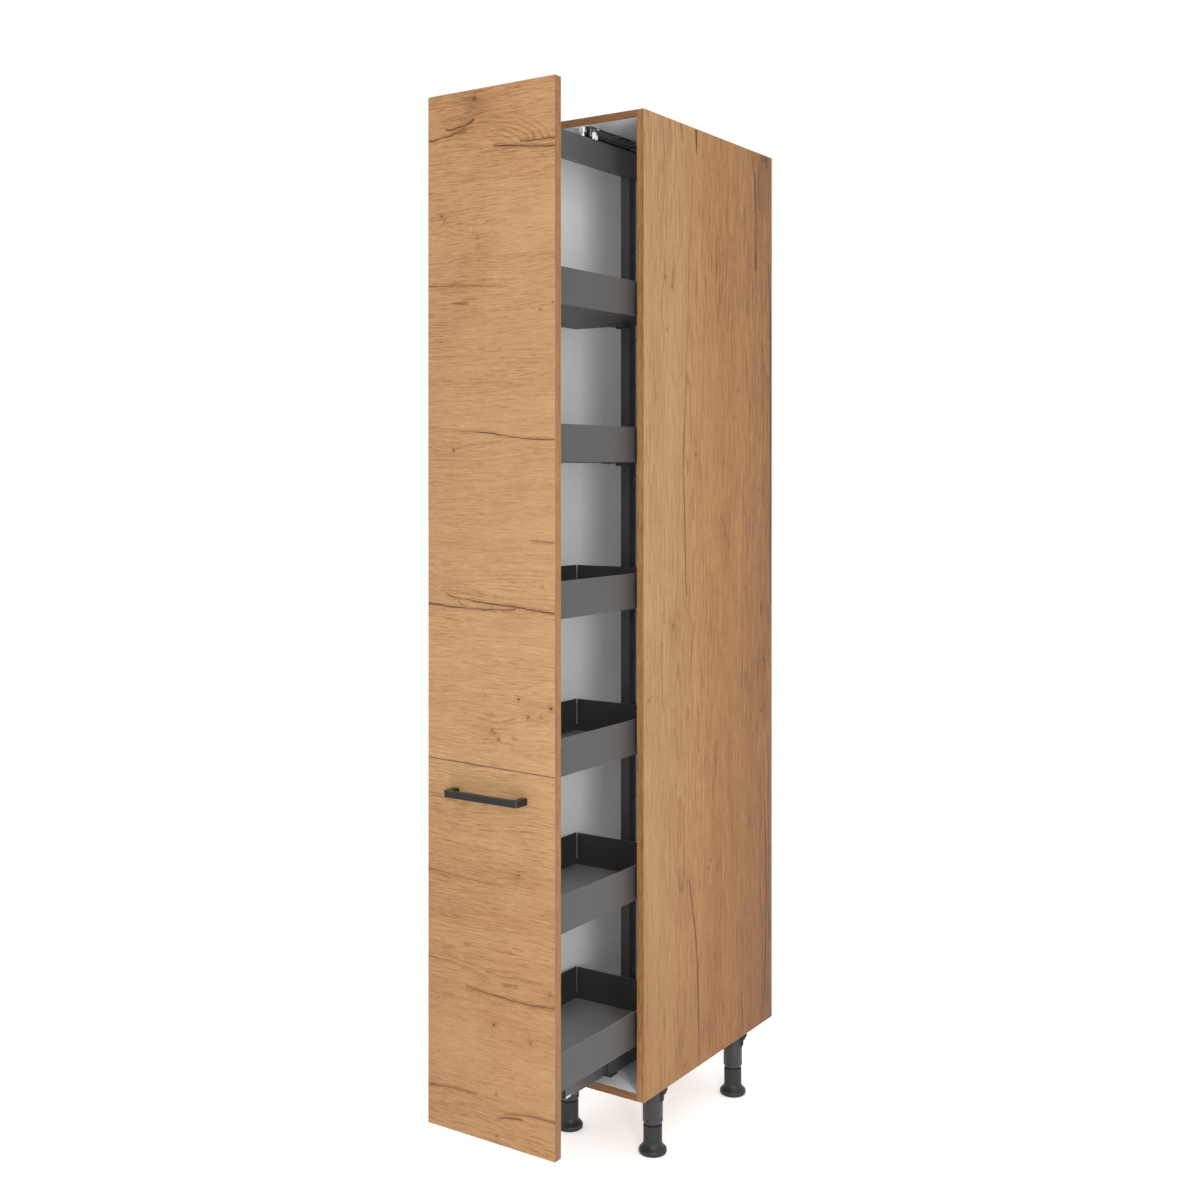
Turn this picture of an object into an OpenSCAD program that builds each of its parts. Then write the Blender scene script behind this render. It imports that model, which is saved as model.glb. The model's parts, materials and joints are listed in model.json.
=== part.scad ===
// Tall pull-out larder cabinet: oak-decor carcass on four screw-in legs, with a
// front, a hanging frame and six sheet-steel trays that slide out as one.
// Millimetres, +Z up, the front faces -Y. The origin is at floor level, under
// the middle of the bounding box with the larder drawn out at rest.

/* [Carcass] */
// Outside width of the carcass
carcass_w = 300; // [298:1:302]
// Depth of the carcass, front edge to rear edge
carcass_d = 560; // [556:1:566]
// Height of the carcass without its legs
carcass_h = 1968; // [1966:1:1974]
// Thickness of side, top and bottom panels
panel_t = 16; // [15.5:0.5:16]
// Thickness of the back panel
back_t = 8; // [3:0.5:8]
// Distance of the back panel's front face from the rear edge
back_inset = 19; // [17:1:22]

/* [Legs] */
// Height of the carcass above the floor
leg_h = 150; // [148:1:154]
// Sideways distance of each leg from the middle
leg_x = 104; // [100:1:105]
// Front legs, behind the carcass's front edge
leg_y_front = 110; // [106:1:114]
// Rear legs, behind the carcass's front edge
leg_y_rear = 457; // [450:1:460]
// Radius of the foot's base
foot_r = 29; // [27:0.5:30]

/* [Front] */
// Width of the front
front_w = 297; // [294:1:298]
// Height of the front
front_h = 1966; // [1964:1:1967]
// Thickness of the front
front_t = 19; // [18:0.5:22]
// How far the front's back stands out of the carcass at rest
front_open = 284; // [282:1:290]

/* [Handle] */
// Hole spacing of the bar handle
handle_cc = 160; // [128:32:192]
// Height of the bar
bar_h = 12; // [10:1:14]
// Depth of the bar
bar_d = 10; // [8:1:12]
// Projection of the handle from the front's face
handle_out = 33; // [30:1:36]
// Height of the handle's middle above the carcass's lower edge
handle_z = 645; // [560:5:900]

/* [Frame] */
// Width of the two posts
post_w = 21; // [20:0.5:21]
// Depth of the two posts
post_d = 26; // [24:1:26]
// Height of the top beam
beam_h = 52; // [48:1:56]
// Width of the top beam
beam_w = 20; // [20:0.5:21]
// Spacing of the hooks up the posts
hook_pitch = 97; // [96:0.5:97]

/* [Trays] */
// Outside width of a tray
tray_w = 250; // [240:2:254]
// Height of a tray's walls
tray_h = 70; // [66:1:70]
// Height of the lowest tray's upper edge above the carcass's lower edge
tray_top = 174; // [172:1:176]
// Sheet thickness of a tray
sheet = 1; // [0.8:0.1:1]
// Width of the open slits at a tray's corners
slit = 2.4; // [1.5:0.1:3]

/* [Runner] */
// Half width of the channel screwed to the cabinet floor
run_x = 44; // [44:0.5:46]
// Sheet thickness of the runner members
run_t = 1.5; // [1.2:0.1:1.5]

/* [Hidden] */
$fn = 48;

// y of the carcass's front edge, so that the whole box is centred on y = 0
yf = (handle_out + front_t + front_open + carcass_d) / 2 - carcass_d;
hw = carcass_w / 2;                  // half width
ix = hw - panel_t;                   // inner face of a side
zt = carcass_h - panel_t;            // underside of the top panel
yb = carcass_d - back_inset;         // front face of the back panel
yd = -front_open;                    // back face of the front at rest
yh = yd - front_t;                   // outer face of the front at rest
// posts, measured in depth from the carcass's front edge at rest
pf0 = yd + 2; pf1 = pf0 + post_d;    // front post
pr0 = 168; pr1 = pr0 + post_d;       // rear post
beam_z1 = zt - 22; beam_z0 = beam_z1 - beam_h;
beam_end = 236;                      // rear end of the beam
hook_z0 = tray_top - 5;              // lowest hook
hook_n = 18;
tray_pitch = 3 * hook_pitch;
tray_y1 = pr0 - 1.5;                 // rear wall of a tray
tray_y0 = pf1 + 1.5;                 // front wall of a tray
frame_yc = (pf0 + pr1) / 2;
// runner cross-section
rx1 = run_x; rx2 = run_x - 6; rx3 = run_x - 12;
rz1 = panel_t; rz2 = rz1 + 4; rz3 = rz2 + 4;
mid_y0 = -110; mid_l = 480;
shoe_z1 = rz3 + 38;
bracket_z = [hook_z0 + 0.5 * hook_pitch, hook_z0 + 9.5 * hook_pitch, hook_z0 + 16.5 * hook_pitch];
handle_in = handle_cc / 2;
wall_z = zt - 42;                    // height of the wall screws
leg_pts = [[-leg_x, leg_y_front, 0], [leg_x, leg_y_front, 0], [-leg_x, leg_y_rear, 1], [leg_x, leg_y_rear, 1]];

OAK = [0.74, 0.56, 0.36]; WHITE = [0.92, 0.92, 0.91]; ANTH = [0.30, 0.30, 0.30];
ZINC = [0.70, 0.71, 0.72]; BLACK = [0.12, 0.12, 0.12]; BEECH = [0.82, 0.68, 0.48];

// everything below is placed from the carcass's lower front edge
module cab() translate([0, yf, leg_h]) children();
module box(a, b) translate(a) cube(b - a);
module both() { children(); mirror([1, 0, 0]) children(); }
module bore(r, l, p, rot) translate(p) rotate(rot) cylinder(r = r, h = l);

// pan-head screw, head standing on z = 0, shank going down
module screw(l, r = 1.9, hr = 4, hh = 2) {
  difference() {
    cylinder(r = hr, h = hh);
    translate([-hr * 0.6, -0.5, hh * 0.45]) cube([hr * 1.2, 1, hh]);
    translate([-0.5, -hr * 0.6, hh * 0.45]) cube([1, hr * 1.2, hh]);
  }
  translate([0, 0, -l + 2]) cylinder(r = r, h = l - 2);
  translate([0, 0, -l]) cylinder(r1 = r * 0.4, r2 = r, h = 2);
}

// rectangle with corners rounded by true arcs
module round_rect(x0, y0, x1, y1, r) {
  translate([x0 + r, y0]) square([x1 - x0 - 2 * r, y1 - y0]);
  translate([x0, y0 + r]) square([x1 - x0, y1 - y0 - 2 * r]);
  for (x = [x0 + r, x1 - r], y = [y0 + r, y1 - r]) translate([x, y]) circle(r = r);
}

// ---------------------------------------------------------------- carcass
cam_ys = [50, carcass_d - 50];
dowel_ys = [160, 400];
module back_groove() box([-ix - 8, yb, 7], [ix + 8, yb + back_t + 0.2, carcass_h - 7]);
module joint_bores(r_bolt, r_dowel) for (z = [panel_t / 2, carcass_h - panel_t / 2]) {
  for (y = cam_ys) bore(r_bolt, 34 + 10, [ix - 34, y, z], [0, 90, 0]);
  for (y = dowel_ys) bore(r_dowel, 32, [ix - 20, y, z], [0, 90, 0]);
}
module side_panel() cab() difference() {
  box([ix, 0, 0], [hw, carcass_d, carcass_h]);
  back_groove();
  joint_bores(3.6, 4.05);
}
module side_panel_right() color(OAK) side_panel();
module side_panel_left() color(OAK) mirror([1, 0, 0]) side_panel();

module cross_panel(z0, cam_z) difference() {
  box([-ix, 0, z0], [ix, carcass_d, z0 + panel_t]);
  back_groove();
  both() joint_bores(3.6, 4.05);
  both() for (y = cam_ys) bore(7.6, 12.6, [ix - 34, y, cam_z], [0, 0, 0]);
}
module top_panel() color(OAK) cab() difference() {
  cross_panel(zt, carcass_h - 12.5);
  both() for (y = [40, 200, 360, 520]) bore(1.95, 10.1, [16, y, zt - 0.01], [0, 0, 0]);
  both() for (x = [-20.5, -7.5]) bore(1.95, 11, [ix + x, yb - 24, zt - 0.01], [0, 0, 0]);
}
module bottom_panel() color(OAK) cab() difference() {
  cross_panel(0, -0.1);
  for (p = leg_pts, dx = [-26, 26], dy = [-26, 26])
    bore(1.95, 12.1, [p[0] + dx, p[1] + dy, -0.01], [0, 0, 0]);
  both() for (y = [80, 290, 500]) bore(1.95, 10.1, [18, y, panel_t - 10], [0, 0, 0]);
}
module back_panel() color(WHITE) cab() difference() {
  box([-ix - 7.5, yb + 0.1, 7.5], [ix + 7.5, yb + back_t + 0.1, carcass_h - 7.5]);
  both() bore(4, back_t + 6, [ix - 14, yb - 3, wall_z], [-90, 0, 0]);
}
module cam_locks() color(ZINC) cab() both() for (y = cam_ys, top = [0, 1])
  translate([ix - 34, y, top ? carcass_h - 12.4 : 0]) difference() {
    cylinder(r = 7.5, h = 12.4);
    translate([0, 0, top ? 12.4 - panel_t / 2 + 0.1 : panel_t / 2]) rotate([0, 90, 0]) cylinder(r = 3.7, h = 9);
    translate([-4.5, -0.8, top ? 10.6 : -0.1]) cube([9, 1.6, 2]);
    translate([-0.8, -4.5, top ? 10.6 : -0.1]) cube([1.6, 9, 2]);
  }
module cam_bolts() color(ZINC) cab() both() for (y = cam_ys, z = [panel_t / 2, carcass_h - panel_t / 2])
  translate([ix - 31, y, z]) rotate([0, 90, 0]) {
    cylinder(r = 3.2, h = 3);
    translate([0, 0, 3]) cylinder(r = 2, h = 5);
    translate([0, 0, 8]) cylinder(r = 3.5, h = 32.5);
  }
module wood_dowels() color(BEECH) cab() both() for (y = dowel_ys, z = [panel_t / 2, carcass_h - panel_t / 2])
  translate([ix - 19, y, z]) rotate([0, 90, 0]) {
    cylinder(r1 = 3.2, r2 = 4, h = 1);
    translate([0, 0, 1]) cylinder(r = 4, h = 28);
    translate([0, 0, 29]) cylinder(r1 = 4, r2 = 3.2, h = 1);
  }
module wall_brackets() color(ZINC) cab() both() difference() {
  union() {
    box([ix - 26, yb - 2, zt - 56], [ix - 2, yb, zt]);
    box([ix - 26, yb - 34, zt - 2], [ix - 2, yb - 1, zt]);
    translate([ix - 14.75, yb - 1.5, zt - 1.5]) rotate([90, 0, 90]) linear_extrude(1.5)
      polygon([[0, 0], [-26, 0], [0, -34]]);
  }
  bore(3.25, 10, [ix - 14, yb - 5, wall_z], [-90, 0, 0]);
  for (x = [-20.5, -7.5]) bore(2, 6, [ix + x, yb - 24, zt - 4], [0, 0, 0]);
}
module wall_bracket_screws() color(ZINC) cab() both() for (x = [-20.5, -7.5])
  translate([ix + x, yb - 24, zt - 2]) rotate([180, 0, 0]) screw(12, 1.9, 3.4, 1.8);

// ------------------------------------------------------------ bottom runner
// channel open upwards, with lips turned in along its upper edges
module channel_run(x, z0, h, lip, y0, y1) both() {
  box([-0.01, y0, z0], [x, y1, z0 + run_t]);
  box([x - run_t, y0, z0], [x, y1, z0 + h]);
  if (lip > 0) box([x - lip, y0, z0 + h - run_t], [x, y1, z0 + h]);
}
module runner_cabinet_member() color(ANTH) cab() difference() {
  union() {
    channel_run(rx1, rz1, 54, 8, 34, yb - 1);
    both() box([rx1 - 0.5, 34, rz1], [rx1 + 6, 62, rz1 + run_t]);
  }
  both() for (y = [80, 290, 500]) bore(2.1, 6, [18, y, rz1 - 2], [0, 0, 0]);
  both() bore(1.6, 6, [rx1 - 3, 44, rz1 + 46], [0, 90, 0]);
}
module runner_floor_screws() color(ZINC) cab() {
  both() for (y = [80, 290, 500]) translate([18, y, rz1 + run_t]) screw(10, 1.9, 4, 2);
  both() translate([rx1, 44, rz1 + 46]) rotate([0, 90, 0]) screw(3, 1.5, 2.4, 1.2);
}
module runner_middle_member() color(ANTH) cab() difference() {
  channel_run(rx2, rz2, 46, 10, mid_y0, mid_y0 + mid_l);
  both() bore(1.6, 6, [rx2 - 3, mid_y0 + 10, rz2 + 26], [0, 90, 0]);
}
module runner_stop_clip() color(ZINC) cab() both() {
  translate([rx2, mid_y0 + 10, rz2 + 26]) rotate([0, 90, 0]) screw(3, 1.5, 2.6, 1.2);
  box([rx2, mid_y0 + 1, rz2 + 1], [rx2 + 1.2, mid_y0 + 16, rz2 + 6]);
}
module runner_frame_member() color(ANTH) cab() difference() {
  channel_run(rx3, rz3, 38, 0, yd + 0.5, pr1);
  both() for (y = [pf0 + 13, pr0 + 13]) bore(2.1, 6, [rx3 - 3, y, rz3 + 22], [0, 90, 0]);
}
// strips that keep the runner's balls apart; the balls sit in round windows
cage_rows = [12, 26];
module cage(x, z0, y0, l) both() difference() {
  box([x - 0.85, y0, z0 + 6], [x + 0.85, y0 + l, z0 + 32]);
  for (z = cage_rows, k = [0 : floor((l - 20) / 28)])
    bore(2.3, 4, [x - 2, y0 + 10 + 28 * k, z0 + z], [0, 90, 0]);
}
module cage_balls(x, z0, y0, l) both() for (z = cage_rows, k = [0 : floor((l - 20) / 28)])
  translate([x, y0 + 10 + 28 * k, z0 + z]) sphere(r = 2);
module ball_cage_outer() color(BLACK) cab() cage((rx1 - run_t + rx2) / 2, rz2 + 4, 100, 160);
module balls_outer() color(ZINC) cab() cage_balls((rx1 - run_t + rx2) / 2, rz2 + 4, 100, 160);
module ball_cage_inner() color(BLACK) cab() cage((rx2 - run_t + rx3) / 2, rz3 + 2, -40, 150);
module balls_inner() color(ZINC) cab() cage_balls((rx2 - run_t + rx3) / 2, rz3 + 2, -40, 150);

// ------------------------------------------------------------ hanging frame
// sheet hook bent out of a post's side, open upwards
module hook() translate([0, 9, 0]) rotate([90, 0, 0]) linear_extrude(9)
  polygon([[post_w / 2 - 0.4, 0], [post_w / 2, 0], [post_w / 2 + 5.4, 12],
           [post_w / 2 + 6.8, 12], [post_w / 2 + 0.5, -2.2], [post_w / 2 - 0.4, -2.2]]);
module post(y0, hook_y) difference() {
  union() {
    difference() {
      box([-post_w / 2, y0, rz3 + 6], [post_w / 2, y0 + post_d, beam_z0]);
      box([-post_w / 2 + 1.5, y0 + 1.5, rz3 + 5], [post_w / 2 - 1.5, y0 + post_d - 1.5, beam_z0 - 3]);
    }
    for (k = [0 : hook_n - 1]) translate([0, hook_y, hook_z0 - 6 + k * hook_pitch]) both() hook();
  }
  bore(3.1, 10, [0, y0 + post_d / 2, beam_z0 - 5], [0, 0, 0]);
}
module rear_post() color(ANTH) cab() post(pr0, pr0 + 9);
module front_post() color(ANTH) cab() difference() {
  post(pf0, pf1 - 18);
  for (z = bracket_z) bore(1.95, post_w + 4, [-post_w / 2 - 2, pf0 + 10, z], [0, 90, 0]);
}
module top_beam() color(ANTH) cab() difference() {
  box([-beam_w / 2, pf0, beam_z0], [beam_w / 2, beam_end, beam_z1]);
  box([-beam_w / 2 + 1.5, pf0 - 1, beam_z0 + 1.5], [beam_w / 2 - 1.5, beam_end + 1, beam_z1 + 1]);
  for (y = [pf0, pr0]) bore(3.1, 6, [0, y + post_d / 2, beam_z0 - 2], [0, 0, 0]);
}
module beam_screws() color(ZINC) cab() for (y = [pf0, pr0])
  translate([0, y + post_d / 2, beam_z0 + 1.5]) screw(16, 3, 5, 4);
module post_shoes() color(BLACK) cab() for (y = [pf0, pr0]) difference() {
  box([-rx3 + run_t + 0.1, y - (y == pf0 ? 0.5 : 6), rz3 + run_t],
      [rx3 - run_t - 0.1, y + post_d + (y == pf0 ? 6 : 0), shoe_z1]);
  box([-post_w / 2 - 0.1, y - (y == pf0 ? 1 : 0.1), rz3 + 6], [post_w / 2 + 0.1, y + post_d + (y == pf0 ? 0.1 : 1), shoe_z1 + 1]);
  both() bore(1.95, 14, [rx3 - run_t - 13, y + 13, rz3 + 22], [0, 90, 0]);
}
module post_shoe_screws() color(ZINC) cab() for (y = [pf0, pr0])
  both() translate([rx3, y + 13, rz3 + 22]) rotate([0, 90, 0]) screw(14, 1.9, 3.4, 1.8);
module front_brackets() color(ANTH) cab() for (z = bracket_z) difference() {
  union() {
    box([-44, yd, z - 30], [44, pf0, z + 30]);
    both() box([post_w / 2 + 0.1, yd, z - 30], [post_w / 2 + 1.7, pf0 + 20, z + 30]);
  }
  both() for (dz = [-18, 18]) bore(2.1, 6, [34, yd - 2, z + dz], [-90, 0, 0]);
  both() bore(2.1, 6, [post_w / 2 - 1, pf0 + 10, z], [0, 90, 0]);
}
module front_bracket_screws() color(ZINC) cab() for (z = bracket_z) both() {
  for (dz = [-18, 18]) translate([34, pf0, z + dz]) rotate([-90, 0, 0]) screw(14, 1.9, 4, 2);
  translate([post_w / 2 + 1.7, pf0 + 10, z]) rotate([0, 90, 0]) screw(6, 1.9, 3.4, 1.8);
}

// -------------------------------------------------------------------- front
module front_panel() color(OAK) cab() difference() {
  box([-front_w / 2, yh, (carcass_h - front_h) / 2], [front_w / 2, yd, (carcass_h + front_h) / 2]);
  both() bore(2.2, front_t + 2, [handle_in, yh - 1, handle_z], [-90, 0, 0]);
  for (z = bracket_z) both() for (dz = [-18, 18]) bore(1.95, 13, [34, yd - 12.2, z + dz], [-90, 0, 0]);
}
module bar_handle() color(BLACK) cab() translate([0, yh, handle_z - bar_h / 2]) difference() {
  linear_extrude(bar_h) difference() {
    union() {
      round_rect(-handle_in - 6.5, -handle_out, handle_in + 6.5, -handle_out + 20, 7);
      both() translate([handle_in - 6.5, -handle_out + 10]) square([13, handle_out - 10]);
    }
    round_rect(-handle_in + 6.5, -handle_out + bar_d, handle_in - 6.5, 30, 3.5);
  }
  both() translate([handle_in, 0.1, bar_h / 2]) rotate([90, 0, 0]) cylinder(r = 2.05, h = 14);
}
module handle_screws() color(ZINC) cab() both() translate([handle_in, yd, handle_z])
  rotate([-90, 0, 0]) screw(front_t + 12, 2, 4.2, 2.4);
module door_bumpers() color(WHITE) cab() both() for (z = [30, carcass_h - 30])
  translate([ix + 7, yd, z]) rotate([-90, 0, 0]) {
    cylinder(r = 5, h = 1.1);
    translate([0, 0, 1.1]) cylinder(r1 = 5, r2 = 4.2, h = 0.8);
  }

// -------------------------------------------------------------------- trays
module tray(i) color(ANTH) cab() translate([0, 0, tray_top - tray_h + i * tray_pitch]) difference() {
  union() {
    difference() {
      box([-tray_w / 2, tray_y0, 0], [tray_w / 2, tray_y1, tray_h]);
      box([-tray_w / 2 + sheet, tray_y0 + sheet, sheet], [tray_w / 2 - sheet, tray_y1 - sheet, tray_h + 1]);
    }
    // edges folded back along the top of the long walls
    both() box([tray_w / 2 - 2 * sheet, tray_y0 + slit + sheet, tray_h - 6], [tray_w / 2 - sheet / 2, tray_y1 - slit - sheet, tray_h]);
    for (y = [tray_y0 + sheet / 2, tray_y1 - 2 * sheet])
      box([-tray_w / 2 + slit + 2 * sheet, y, tray_h - 6], [tray_w / 2 - slit - 2 * sheet, y + 1.5 * sheet, tray_h]);
  }
  both() for (y = [tray_y0 - 1, tray_y1 - sheet - 0.5])
    box([tray_w / 2 - sheet - slit, y, tray_h * 0.2], [tray_w / 2 - sheet, y + sheet + 1.5, tray_h + 1]);
}
// strap under the tray with two ears that drop into a post's hooks
module hanger() both() {
  box([0, 118, -1.5], [30, tray_y1 + 0.9, 0]);
  translate([post_w / 2 + 0.7, 0, 0]) rotate([90, 0, 90]) linear_extrude(1.5)
    polygon([[150, -6], [pr0 + 8.2, -6], [pr0 + 8.2, tray_h - 4], [pr0 + 9.5, tray_h - 4],
             [pr0 + 9.5, tray_h - 5.5], [pr0 + 17.5, tray_h - 5.5], [pr0 + 17.5, tray_h - 1],
             [tray_y1 + 0.2, tray_h - 1], [tray_y1 + 0.2, -0.7], [150, -0.7]]);
  for (y = [126, 142]) translate([23, y, -2.6]) cylinder(r = 2.6, h = 1.2);
}
module tray_hangers(i) color(ANTH) cab() translate([0, 0, tray_top - tray_h + i * tray_pitch]) {
  hanger();
  translate([0, 2 * frame_yc, 0]) mirror([0, 1, 0]) hanger();
}

// ------------------------------------------------------------------ top guide
gx = 10.5;       // half width inside the guide channel
rail_z0 = zt - 18;
roll_y = 8;      // front roller, behind the carcass's front edge
rear_y = beam_end - 8;
module guide_rail() color(ZINC) cab() difference() {
  union() {
    box([-20, 1, zt - 1.5], [20, yb - 6, zt]);
    both() box([gx, 18, rail_z0], [gx + 1.5, yb - 6, zt - 1]);
    both() box([gx, 18, rail_z0], [gx + 3.5, yb - 6, rail_z0 + 1.2]);
  }
  both() for (y = [40, 200, 360, 520]) bore(2.1, 6, [16, y, zt - 3], [0, 0, 0]);
  bore(3.6, 6, [0, roll_y, zt - 3], [0, 0, 0]);
}
module guide_rail_screws() color(ZINC) cab() both() for (y = [40, 200, 360, 520])
  translate([16, y, zt - 1.5]) rotate([180, 0, 0]) screw(10, 1.9, 3.4, 1.8);
module guide_front_pin() color(ZINC) cab() translate([0, roll_y, 0]) {
  translate([0, 0, zt - 41]) cylinder(r = 3.5, h = 40.9);
  translate([0, 0, zt - 42.6]) cylinder(r = 5, h = 1.6);
  // turned collar with grooves
  rotate_extrude() translate([0, zt - 11.5]) polygon(concat([[3, 0], [7.2, 0]],
    [for (k = [0 : 3]) each [[8, 0.6 + k * 2.4], [8, 1.8 + k * 2.4], [7.2, 2.2 + k * 2.4], [7.2, 2.6 + k * 2.4]]],
    [[7.2, 10], [3, 10]]));
}
module guide_front_roller() color(BLACK) cab() translate([0, roll_y, zt - 40.8]) difference() {
  rotate_extrude() polygon([[3.56, 0], [7, 0], [7.9, 1], [7.9, 15], [7, 16], [3.56, 16]]);
}
module guide_rear_pin() color(ZINC) cab() {
  box([-beam_w / 2 + 1.6, beam_end - 16, beam_z0 + 1.5], [beam_w / 2 - 1.6, beam_end, rail_z0 - 1]);
  translate([0, rear_y, rail_z0 - 1.2]) cylinder(r = 3.5, h = 16.4);
}
module guide_rear_roller() color(BLACK) cab() translate([0, rear_y, rail_z0 + 1]) rotate_extrude()
  polygon([[3.56, 0], [9.2, 0], [10.2, 1], [10.2, 13], [9.2, 14], [3.56, 14]]);
// soft-close unit beside the rail, with a catch that runs back 40 mm in its slot
module soft_close_housing() color(BLACK) cab() difference() {
  union() {
    box([gx + 1.6, 26, zt - 15.5], [gx + 12, 172, zt - 6]);
    for (y = [56, 150]) box([gx + 1.6, y, zt - 8], [gx + 9, y + 12, zt - 1.5]);
    translate([gx + 6.8, 172, zt - 10.5]) rotate([-90, 0, 0]) cylinder(r = 3.4, h = 22);
  }
  box([gx + 3.2, 25, zt - 20], [gx + 9.8, 82, zt - 9.5]);
}
module soft_close_catch() color(WHITE) cab() {
  box([gx + 3.8, 20, zt - 18.6], [gx + 9.2, 33, zt - 10]);
  box([gx + 3.8, 20, zt - 24], [gx + 9.2, 23, zt - 18]);
  box([gx + 3.8, 29.5, zt - 24.4], [gx + 9.2, 33, zt - 18]);
}
act_y = yd + 58;
module soft_close_activator() color(ANTH) cab() {
  box([beam_w / 2, act_y - 8, beam_z1 - 8], [beam_w / 2 + 1.5, act_y + 14, beam_z1 - 4.5]);
  box([beam_w / 2, act_y - 8, beam_z1 - 6], [gx + 14, act_y + 14, beam_z1 - 4.5]);
  box([gx + 10.4, act_y, beam_z1 - 5], [gx + 13.4, act_y + 7, beam_z1 + 5]);
}

// --------------------------------------------------------------------- legs
module rib(pts, t = 3) translate([0, t / 2, 0]) rotate([90, 0, 0]) linear_extrude(t) polygon(pts);
module leg_socket(rear) difference() {
  union() {
    translate([0, 0, -4]) linear_extrude(4) round_rect(-36, -36, 36, 36, 8);
    rotate_extrude() polygon([[0, -4.5], [21, -4.5], [21, -84], [19.8, -86], [15.4, -93], [15, -100], [0, -100]]);
    for (a = [0, 180, 270]) rotate(a) rib([[19, -3], [35, -3], [35, -14], [30, -24], [27, -26], [26, -38], [19, -46]]);
    rotate(90) rib([[19, -3], [44, -3], [44, -24], [38, -30], [19, -34]]);
    translate([-1.5, 34, -4]) cube([3, 10, 4]);
    for (dx = [-26, 26], dy = [-26, 26]) translate([dx, dy, -11]) cylinder(r = 5, h = 8);
    if (rear) translate([12, -12, -60]) sphere(r = 5);
  }
  translate([0, 0, -101]) cylinder(r = 10.3, h = 77);
  for (dx = [-26, 26], dy = [-26, 26]) translate([dx, dy, -12]) cylinder(r = 2.1, h = 13);
  for (a = [0 : 90 : 270]) rotate(a) translate([18.5, 0, -78]) rotate([0, 90, 0]) cylinder(r = 2.4, h = 4);
}
module leg_sockets() color(BLACK) cab() for (p = leg_pts) translate([p[0], p[1], 0]) leg_socket(p[2]);
module leg_screws() color(ZINC) cab() for (p = leg_pts, dx = [-26, 26], dy = [-26, 26])
  translate([p[0] + dx, p[1] + dy, -11]) rotate([180, 0, 0]) screw(22, 1.9, 3.8, 2);

module foot(p) color(BLACK) cab() translate([p[0], p[1], -leg_h]) {
  difference() {
    union() {
      // base, flared up into the grip
      rotate_extrude() polygon([[0, 0], [foot_r - 2.5, 0], [foot_r - 0.8, 1.2], [foot_r, 4], [foot_r, 7.5],
        [foot_r - 0.8, 10], [foot_r - 3, 12], [23, 15], [20.4, 19], [19.2, 24], [19, 30], [0, 30]]);
      // fluted grip
      translate([0, 0, 24]) linear_extrude(34) difference() {
        circle(r = 19.4);
        for (a = [0 : 20 : 340]) rotate(a) translate([21.3, 0]) circle(r = 2.6, $fn = 24);
      }
      rotate_extrude() polygon([[0, 57], [18.6, 57], [18.6, 59], [0, 59]]);
    }
    translate([0, 0, 46]) cylinder(r = 17.2, h = 20);
  }
  // stem that screws up into the socket
  rotate_extrude() polygon(concat([[0, 45], [9.3, 45]],
    [for (k = [0 : 11]) each [[9.3, 47 + k * 5], [10, 48 + k * 5], [10, 50 + k * 5], [9.3, 51 + k * 5]]],
    [[8.6, 108], [0, 108]]));
}

side_panel_left();
side_panel_right();
top_panel();
bottom_panel();
back_panel();
cam_locks();
cam_bolts();
wood_dowels();
wall_brackets();
wall_bracket_screws();
runner_cabinet_member();
runner_floor_screws();
guide_rail();
guide_rail_screws();
guide_front_pin();
soft_close_housing();
leg_sockets();
leg_screws();
front_panel();
bar_handle();
handle_screws();
front_post();
rear_post();
top_beam();
beam_screws();
post_shoes();
post_shoe_screws();
front_brackets();
front_bracket_screws();
door_bumpers();
runner_frame_member();
guide_rear_pin();
soft_close_activator();
runner_middle_member();
runner_stop_clip();
ball_cage_outer();
balls_outer();
ball_cage_inner();
balls_inner();
guide_front_roller();
guide_rear_roller();
soft_close_catch();
tray(5);  // tray_1
tray(4);  // tray_2
tray(3);  // tray_3
tray(2);  // tray_4
tray(1);  // tray_5
tray(0);  // tray_6
tray_hangers(5);  // tray_1_hangers
tray_hangers(4);  // tray_2_hangers
tray_hangers(3);  // tray_3_hangers
tray_hangers(2);  // tray_4_hangers
tray_hangers(1);  // tray_5_hangers
tray_hangers(0);  // tray_6_hangers
foot(leg_pts[0]);  // foot_front_left
foot(leg_pts[1]);  // foot_front_right
foot(leg_pts[2]);  // foot_rear_left
foot(leg_pts[3]);  // foot_rear_right
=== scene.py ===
import json
import math

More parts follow.
